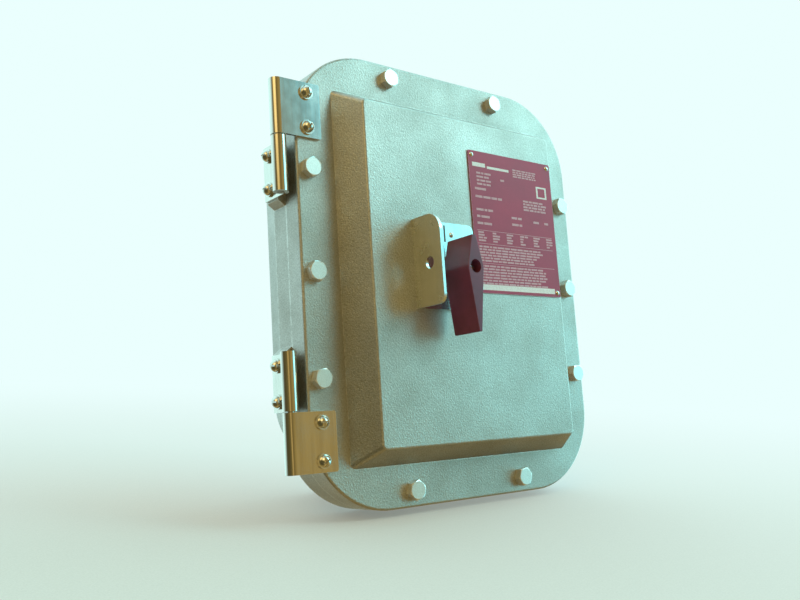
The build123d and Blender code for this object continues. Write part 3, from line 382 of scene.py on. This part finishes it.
def bare_metal(name, dull, bright, dark, metallic, rough, scale, bump, reach=0.0012, corner_shade=0.5):
    """Bare metal: tone drifts from dull to bright, pits dark, painted shade in the corners, worn edges
    with painted highlight.
    """
    material, tree, shader = new_material(name)
    grain = use_group(tree, grain_group, {"Scale": scale})
    edge_node = use_group(tree, edge_group, {"Radius": reach})
    corners = use_group(tree, shade_group, {"Amount": corner_shade})
    drift = rescale(tree, grain.outputs["Drift"], 0.0, 1.0, 0.35, 0.65)
    tone = mix(tree, drift, dull, bright)
    pitted = mix(tree, rescale(tree, grain.outputs["Pits"], 0.32, 0.0), tone, dark)
    # Painted shade darkens the corners, and the worn edges are lightened as painted highlight.
    corner_shaded = mix(tree, corners.outputs["Shade Mask"], pitted, dark)
    rubbed_and_highlit = mix(tree, edge_node.outputs["Edge Mask"], corner_shaded, tuple(min(1.0, 1.18 * c) for c in bright))
    tree.links.new(rubbed_and_highlit, shader.inputs["Base Color"])
    uneven = rescale(tree, grain.outputs["Drift"], rough[1], rough[0], 0.3, 0.7)
    polished = add_node(
        tree, "ShaderNodeMath", {0: edge_node.outputs["Edge Mask"], 1: -0.15, 2: uneven}, operation="MULTIPLY_ADD"
    )
    tree.links.new(polished.outputs[0], shader.inputs["Roughness"])
    relief(tree, shader, grain.outputs["Height"], bump, depth=0.0003)
    shader.inputs["Metallic"].default_value = metallic
    return material


def dress(material, *names):
    """Gives CAD nodes one material."""
    for name in names:
        slots = nodes[name].data.materials
        slots.clear()
        slots.append(material)


cast = bare_metal(
    "cast_aluminium", (0.50, 0.50, 0.47), (0.63, 0.63, 0.60), (0.16, 0.15, 0.12),
    0.94, (0.42, 0.52), CAST_GRAIN, 0.60, reach=0.0022, corner_shade=0.55,
)
dress(cast, "body_casting", "cover_casting")

# The seal in the groove of the body flange is a cord of black rubber, smooth with a faint bloom.
rubber, tree, shader = new_material("seal_rubber")
grain = use_group(tree, grain_group, {"Scale": 400.0})
bloom = rescale(tree, grain.outputs["Drift"], 0.0, 1.0, 0.35, 0.7)
tree.links.new(
    mix(tree, bloom, (0.012, 0.012, 0.013), (0.050, 0.050, 0.048)), shader.inputs["Base Color"]
)
tree.links.new(rescale(tree, grain.outputs["Pits"], 0.55, 0.75), shader.inputs["Roughness"])
dress(rubber, "flange_seal")

# ------------------------------------------------------------------ cover bolts
# Ten hex-head bolts turned from bright bar, with faced-off tops and chamfered corners. The metal
# has a fine even grain and only light painted shade in its corners, and its worn edges carry a
# painted highlight a shade brighter.
bolt_metal = bare_metal(
    "bolt_metal", (0.84, 0.87, 0.84), (0.95, 0.96, 0.93), (0.32, 0.31, 0.27),
    0.85, (0.30, 0.42), 2200.0, 0.10, reach=0.0007, corner_shade=0.35,
)
dress(bolt_metal, "cover_bolts")

# ------------------------------------------------------------------ hinges
# Two bright-plated steel butt hinges, rolled round plain pins. The sheet keeps a faint grain
# along its length under the plating, and the slotted screws sit on split washers.


# Colours of the painted shade in corners and of the worn edges' painted highlight
PLATE_SHADE = (0.10, 0.08, 0.06)
EDGE_HIGHLIGHT_AND_WEAR = (0.92, 0.92, 0.90)


def plated(name, colour, shade, rough, stretch, strength):
    """Plated sheet: rolling lines drawn out along one axis by a stretched noise, faint stains, painted
    shade in the corners, worn edges with painted highlight.
    """
    material, tree, shader = new_material(name)
    place = add_node(tree, "ShaderNodeTexCoord").outputs["Object"]
    drawn = add_node(tree, "ShaderNodeMapping", {"Vector": place, "Scale": stretch})
    lines = add_node(
        tree, "ShaderNodeTexNoise", {"Vector": drawn.outputs[0], "Scale": 260.0, "Detail": 5.0}
    )
    stains = add_node(tree, "ShaderNodeTexNoise", {"Vector": place, "Scale": 70.0, "Detail": 4.0})
    edge_node = use_group(tree, edge_group, {"Radius": 0.0006})
    corners = use_group(tree, shade_group, {"Amount": 0.5, "Reach": 0.004})
    tone = mix(tree, rescale(tree, lines.outputs["Fac"], 0.0, 0.5, 0.35, 0.7), colour, shade)
    dulled = mix(tree, rescale(tree, stains.outputs["Fac"], 0.0, 0.20, 0.45, 0.75), tone, shade)
    # Painted shade in the corners, and worn edges lightened as painted highlight
    corner_shaded = mix(tree, corners.outputs["Shade Mask"], dulled, PLATE_SHADE)
    rubbed_and_highlit = mix(tree, edge_node.outputs["Edge Mask"], corner_shaded, EDGE_HIGHLIGHT_AND_WEAR)
    tree.links.new(rubbed_and_highlit, shader.inputs["Base Color"])
    tree.links.new(
        rescale(tree, stains.outputs["Fac"], rough[0], rough[1], 0.35, 0.7), shader.inputs["Roughness"]
    )
    relief(tree, shader, lines.outputs["Fac"], strength)
    shader.inputs["Metallic"].default_value = 1.0
    return material


ALONG = (1.0, 1.0, 0.08)     # rolling lines run up the sheet
EVEN = (1.0, 1.0, 1.0)
hinge_plate = plated(
    "hinge_plate", (0.80, 0.78, 0.73), (0.58, 0.55, 0.50), (0.09, 0.18), ALONG, 0.10
)
screw_plate = plated(
    "screw_plate", (0.82, 0.82, 0.78), (0.60, 0.59, 0.54), (0.16, 0.30), EVEN, 0.10
)
dress(
    hinge_plate, "upper_hinge_cover_leaf", "lower_hinge_cover_leaf",
    "upper_hinge_body_leaf", "lower_hinge_body_leaf",
)
dress(
    screw_plate, "hinge_cover_screws", "hinge_body_screws", "hinge_cover_washers", "hinge_body_washers",
    "bracket_screws", "handle_screw", "pan_screws", "base_screws", "strip_screws",
    "line_lug_screws", "load_lug_screws",
)
turned_steel = bare_metal(
    "turned_steel", (0.50, 0.50, 0.50), (0.66, 0.66, 0.65), (0.16, 0.15, 0.14),
    1.0, (0.28, 0.42), 1800.0, 0.08,
)
dress(
    turned_steel, "upper_hinge_pin", "lower_hinge_pin", "operating_shaft", "retaining_ring",
    "fork_pin", "pivot_pins", "drive_spring", "drive_fork",
)

# ------------------------------------------------------------------ nameplate
# A thin aluminium plate, anodised and printed maroon, with the data in pale print and a blank
# strip along the foot for stamping. The print here is plain bars and rules that say nothing.
PLATE_LOW, PLATE_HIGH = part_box("nameplate")
PLATE_WIDE = PLATE_HIGH.x - PLATE_LOW.x
PLATE_TALL = PLATE_HIGH.z - PLATE_LOW.z
INK = 0.00004                # the print stands this proud of the plate
WORD_SPREAD = (0.45, 1.45)   # shortest and longest word, as shares of the mean
WORD_SPACE = 0.0004
rng = np.random.default_rng(7)

plate_ink, tree, shader = new_material("plate_maroon")
grain = use_group(tree, grain_group, {"Scale": 2600.0, "Drift Scale": 30.0})
edge_node = use_group(tree, edge_group, {"Radius": 0.0004, "Break Up": 500.0})
tone = mix(
    tree, rescale(tree, grain.outputs["Drift"], 0.0, 1.0, 0.35, 0.65),
    (0.350, 0.030, 0.078), (0.420, 0.044, 0.104),
)
speck = mix(tree, rescale(tree, grain.outputs["Pits"], 0.18, 0.0), tone, (0.12, 0.015, 0.03))
tree.links.new(mix(tree, edge_node.outputs["Edge Mask"], speck, (0.70, 0.72, 0.70)), shader.inputs["Base Color"])
tree.links.new(rescale(tree, grain.outputs["Drift"], 0.34, 0.48, 0.3, 0.7), shader.inputs["Roughness"])
tree.links.new(rescale(tree, edge_node.outputs["Edge Mask"], 0.1, 0.9), shader.inputs["Metallic"])
relief(tree, shader, grain.outputs["Height"], 0.06)
dress(plate_ink, "nameplate")


def slabs(name, rows, back, thick, material):
    """Flat bars on a plane square to y: each row of (x low, x high, z low, z high) is one slab
    between y = back and y = back - thick, with all eight corners worked out at once."""
    rows = np.asarray(rows, float)
    x = rows[:, [0, 1, 1, 0]]
    z = rows[:, [2, 2, 3, 3]]
    near = np.stack([x, np.full_like(x, back - thick), z], axis=2)
    far = np.stack([x, np.full_like(x, back), z], axis=2)
    points = np.concatenate([near, far], axis=1).reshape(-1, 3)
    sides = np.array(
        [(0, 1, 2, 3), (7, 6, 5, 4), (0, 4, 5, 1), (1, 5, 6, 2), (2, 6, 7, 3), (3, 7, 4, 0)]
    )
    faces = (np.arange(len(rows))[:, None, None] * 8 + sides[None]).reshape(-1, 4)
    return put_mesh(name, points, faces.tolist(), material)


def words(left, right, down, tall, word, gap=0.35):
    """Bars in one line of print, from left to right as shares of the plate's width, down as a
    share of its height. Lengths scatter about that of a word, and gaps go with the height."""
    count = int((right - left) * PLATE_WIDE / word) + 2
    length = word * rng.uniform(*WORD_SPREAD, count)
    start = np.concatenate([[0.0], np.cumsum(length + gap * tall + WORD_SPACE)[:-1]])
    end = start + length
    keep = end < (right - left) * PLATE_WIDE + word * 0.5
    x = PLATE_LOW.x + left * PLATE_WIDE
    z = PLATE_HIGH.z - down * PLATE_TALL
    flat = np.full(keep.sum(), z)
    return np.stack([x + start[keep], x + end[keep], flat - tall, flat], axis=1)


def bar(left, right, top, foot):
    """One plain bar given by shares of the plate's width and height."""
    return np.array([[
        PLATE_LOW.x + left * PLATE_WIDE, PLATE_LOW.x + right * PLATE_WIDE,
        PLATE_HIGH.z - foot * PLATE_TALL, PLATE_HIGH.z - top * PLATE_TALL,
    ]])


def printed(name, colour, faded, rough):
    """Ink that is uneven and thin in places."""
    material, tree, shader = new_material(name)
    grain = use_group(tree, grain_group, {"Scale": 1800.0, "Drift Scale": 90.0})
    gaps = rescale(tree, grain.outputs["Pits"], 0.75, 0.0)
    tree.links.new(mix(tree, gaps, colour, faded), shader.inputs["Base Color"])
    tree.links.new(
        rescale(tree, grain.outputs["Drift"], rough - 0.08, rough + 0.08), shader.inputs["Roughness"]
    )
    return material


white_ink = printed("white_ink", (0.86, 0.90, 0.89), (0.62, 0.52, 0.55), 0.45)
pale_ink = printed("pale_ink", (0.66, 0.42, 0.48), (0.44, 0.18, 0.25), 0.5)
plate_front = PLATE_LOW.y

# White: a heading, a title, the blank strip along the foot and the four sides of a small box
bold = [
    bar(0.04, 0.19, 0.083, 0.112),
    bar(0.21, 0.47, 0.098, 0.116),
    bar(0.050, 0.930, 0.940, 0.978),
    bar(0.80, 0.93, 0.185, 0.197),
    bar(0.80, 0.93, 0.262, 0.274),
    bar(0.80, 0.82, 0.197, 0.262),
    bar(0.91, 0.93, 0.197, 0.262),
]
nameplate_bars = slabs("nameplate_bars", np.vstack(bold), plate_front, INK, white_ink)

# Pale: blocks beside the title, short entries down the middle, a table of six columns, three
# rules, and two paragraphs with ragged ends
fine = [words(0.52, 0.80, 0.085 + 0.016 * i, 0.0013, 0.004) for i in range(4)]
fine += [words(0.08, 0.26, 0.150 + 0.026 * i, 0.0017, 0.006) for i in range(4)]
fine += [words(0.62, 0.90, 0.305 + 0.021 * i, 0.0017, 0.005) for i in range(4)]
fine += [words(0.05, 0.22, 0.262, 0.0020, 0.010), words(0.05, 0.36, 0.318, 0.0020, 0.010)]
fine += [words(0.36, 0.42, 0.178, 0.0018, 0.005)]
fine += [words(0.05, 0.22, 0.410 + 0.048 * i, 0.0020, 0.007) for i in range(3)]
fine += [words(0.46, 0.58, 0.440 + 0.048 * i, 0.0020, 0.006) for i in range(2)]
fine += [words(0.73, 0.80, 0.452, 0.0020, 0.006), words(0.87, 0.93, 0.452, 0.0020, 0.006)]
fine += [
    words(0.05 + 0.165 * column, 0.12 + 0.165 * column, 0.572 + 0.019 * line, 0.0015, 0.006)
    for column in range(6) for line in range(4)
]
fine += [bar(0.04, 0.95, 0.562, 0.565), bar(0.04, 0.95, 0.655, 0.658), bar(0.04, 0.95, 0.792, 0.795)]
fine += [
    words(0.05, 0.70 + 0.10 * rng.random(), 0.672 + 0.0195 * i, 0.0015, 0.006) for i in range(6)
]
fine += [
    words(0.05, 0.74 + 0.12 * rng.random(), 0.806 + 0.0200 * i, 0.0015, 0.006) for i in range(7)
]
nameplate_lines = slabs("nameplate_lines", np.vstack(fine), plate_front, INK, pale_ink)
for piece in (nameplate_bars, nameplate_lines):
    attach(piece, "cover")

# The drive rivets at its corners are plain bright aluminium.
rivet_metal = bare_metal(
    "rivet_metal", (0.70, 0.71, 0.68), (0.86, 0.87, 0.84), (0.25, 0.24, 0.20),
    1.0, (0.22, 0.34), 2200.0, 0.06,
)
dress(rivet_metal, "nameplate_rivets")

# ------------------------------------------------------------------ operator bracket
# One bent sheet of bright aluminium: the base is held by four screws under the handle, and the
# ear on the left takes a padlock. A line on the base marks the handle's on position.
BRACKET_THICK = 0.0025       # its back is level with the back of the nameplate
MARK_WIDE = 0.0018
MARK_LEFT = 0.0005           # the mark is scribed a little left of the shaft
MARK_FOOT = 0.0265
MARK_TOP = 0.0405

sheet = plated(
    "bracket_sheet", (0.82, 0.86, 0.85), (0.70, 0.74, 0.73), (0.18, 0.30), (1.0, 1.0, 0.06), 0.10
)
dress(sheet, "padlock_bracket")
shaft_low, shaft_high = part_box("operating_shaft")
mark_x = (shaft_low.x + shaft_high.x) / 2 - MARK_LEFT
mark_row = [[mark_x - MARK_WIDE / 2, mark_x + MARK_WIDE / 2, MARK_FOOT, MARK_TOP]]
mark_paint = printed("mark_paint", (0.05, 0.05, 0.05), (0.14, 0.13, 0.12), 0.5)
position_mark = slabs("position_mark", mark_row, PLATE_HIGH.y - BRACKET_THICK, INK, mark_paint)
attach(position_mark, "cover")

# The bushing that carries the shaft is turned from bronze.
bronze = bare_metal(
    "bronze", (0.50, 0.34, 0.16), (0.64, 0.45, 0.22), (0.16, 0.10, 0.05),
    1.0, (0.30, 0.44), 1600.0, 0.10,
)
dress(bronze, "shaft_bushing")

# ------------------------------------------------------------------ handle
# A die-cast lozenge with a deep well for its screw, under satin maroon enamel. The enamel is
# worn thin along the front edges and has a slight orange-peel surface.
enamel, tree, shader = new_material("handle_enamel")
grain = use_group(tree, grain_group, {"Scale": 420.0, "Drift Scale": 40.0})
edge_node = use_group(tree, edge_group, {"Radius": 0.0007, "Break Up": 260.0})
tone = mix(
    tree, rescale(tree, grain.outputs["Drift"], 0.0, 1.0, 0.35, 0.65),
    (0.130, 0.024, 0.044), (0.180, 0.034, 0.064),
)
thin_edge = rescale(tree, edge_node.outputs["Edge Mask"], 0.0, 0.35)
tree.links.new(mix(tree, thin_edge, tone, (0.38, 0.26, 0.28)), shader.inputs["Base Color"])
tree.links.new(rescale(tree, grain.outputs["Drift"], 0.38, 0.50, 0.3, 0.7), shader.inputs["Roughness"])
relief(tree, shader, grain.outputs["Height"], 0.10)
shader.inputs["Coat Weight"].default_value = 0.12
shader.inputs["Specular Tint"].default_value = (0.70, 0.86, 1.00, 1.0)
shader.inputs["Coat Roughness"].default_value = 0.18
shader.inputs["Coat IOR"].default_value = 1.6
dress(enamel, "handle")

# ------------------------------------------------------------------ pan, bases and housings
# A white powder-coated steel pan carries the switch. The base and the mechanism housing are
# moulded in black thermoset with a fine orange-peel skin, and the crossbar and hub in red.


# Colour of the painted shade in the corners
MOULD_SHADE = (0.16, 0.14, 0.12)


def moulded(name, colour, light, rough, scale=700.0, bump=0.12):
    """Moulded or coated skin: slow drift of tone, fine peel in the height, painted shade in the corners,
    edges a little lighter from wear and painted highlight.
    """
    material, tree, shader = new_material(name)
    grain = use_group(tree, grain_group, {"Scale": scale, "Drift Scale": 30.0})
    edge_node = use_group(tree, edge_group, {"Radius": 0.0006})
    corners = use_group(tree, shade_group, {"Amount": 0.5, "Reach": 0.006})
    tone = mix(tree, rescale(tree, grain.outputs["Drift"], 0.0, 1.0, 0.35, 0.65), colour, light)
    # Painted shade in the corners, then edges lightened as wear and painted highlight
    shaded_tone = mix(tree, corners.outputs["Shade Mask"], tone, MOULD_SHADE)
    tree.links.new(
        mix(tree, rescale(tree, edge_node.outputs["Edge Mask"], 0.0, 0.4), shaded_tone, tuple(1.3 * c for c in light)),
        shader.inputs["Base Color"],
    )
    tree.links.new(
        rescale(tree, grain.outputs["Drift"], rough - 0.06, rough + 0.08), shader.inputs["Roughness"]
    )
    relief(tree, shader, grain.outputs["Height"], bump)
    return material


pan_coat = moulded("pan_coat", (0.62, 0.63, 0.60), (0.72, 0.73, 0.70), 0.42)
dress(pan_coat, "mounting_pan")
black_mould = moulded("black_mould", (0.018, 0.018, 0.020), (0.035, 0.035, 0.037), 0.48)
dress(black_mould, "switch_base", "mechanism_housing")
red_mould = moulded("red_mould", (0.32, 0.030, 0.022), (0.42, 0.045, 0.032), 0.38)
dress(red_mould, "drive_hub", "crossbar")
fibre = moulded("fibre_board", (0.20, 0.065, 0.035), (0.30, 0.105, 0.055), 0.62, scale=1200.0, bump=0.2)
dress(fibre, "arc_shields", "phase_barriers")

# ------------------------------------------------------------------ copper, lugs and fuses
# The current path is tinned copper strip and blade, dulled by handling. The lugs are plated
# aluminium. Each fuse is a paper tube, with two bands of plain print, between two plated caps.
copper = bare_metal(
    "copper", (0.62, 0.30, 0.16), (0.78, 0.43, 0.26), (0.18, 0.09, 0.05),
    1.0, (0.26, 0.42), 1400.0, 0.10,
)
dress(
    copper, "line_jaws", "blade_posts", "switch_blades", "line_fuse_clips", "load_fuse_clips",
    "fuse_caps",
)
lug_metal = bare_metal(
    "lug_metal", (0.66, 0.67, 0.68), (0.80, 0.81, 0.82), (0.24, 0.23, 0.22),
    1.0, (0.30, 0.42), 1500.0, 0.10,
)
dress(lug_metal, "line_lugs", "load_lugs", "ground_lug")
green_zinc = plated(
    "green_zinc", (0.10, 0.42, 0.20), (0.05, 0.26, 0.11), (0.22, 0.36), EVEN, 0.08
)
dress(green_zinc, "ground_screw")

PAPER = (0.74, 0.70, 0.58)
PRINT = (0.05, 0.10, 0.26)

tube_paper, tree, shader = new_material("tube_paper")
place = add_node(tree, "ShaderNodeTexCoord").outputs["Object"]
grain = use_group(tree, grain_group, {"Scale": 900.0, "Drift Scale": 60.0})
fuse_low, fuse_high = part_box("fuse_tubes")
height_of = add_node(tree, "ShaderNodeSeparateXYZ", {0: place}).outputs["Z"]
share = rescale(tree, height_of, 0.0, 1.0, fuse_low.z, fuse_high.z)
band = ramp(
    tree, share,
    [
        (0.00, PAPER), (0.26, PAPER), (0.265, PRINT), (0.40, PRINT), (0.405, PAPER),
        (0.44, PAPER), (0.445, PRINT), (0.735, PRINT), (0.74, PAPER), (1.00, PAPER),
    ],
)
soil = rescale(tree, grain.outputs["Pits"], 0.22, 0.0)
tree.links.new(mix(tree, soil, band, (0.35, 0.32, 0.26)), shader.inputs["Base Color"])
tree.links.new(rescale(tree, grain.outputs["Drift"], 0.55, 0.70), shader.inputs["Roughness"])
dress(tube_paper, "fuse_tubes")
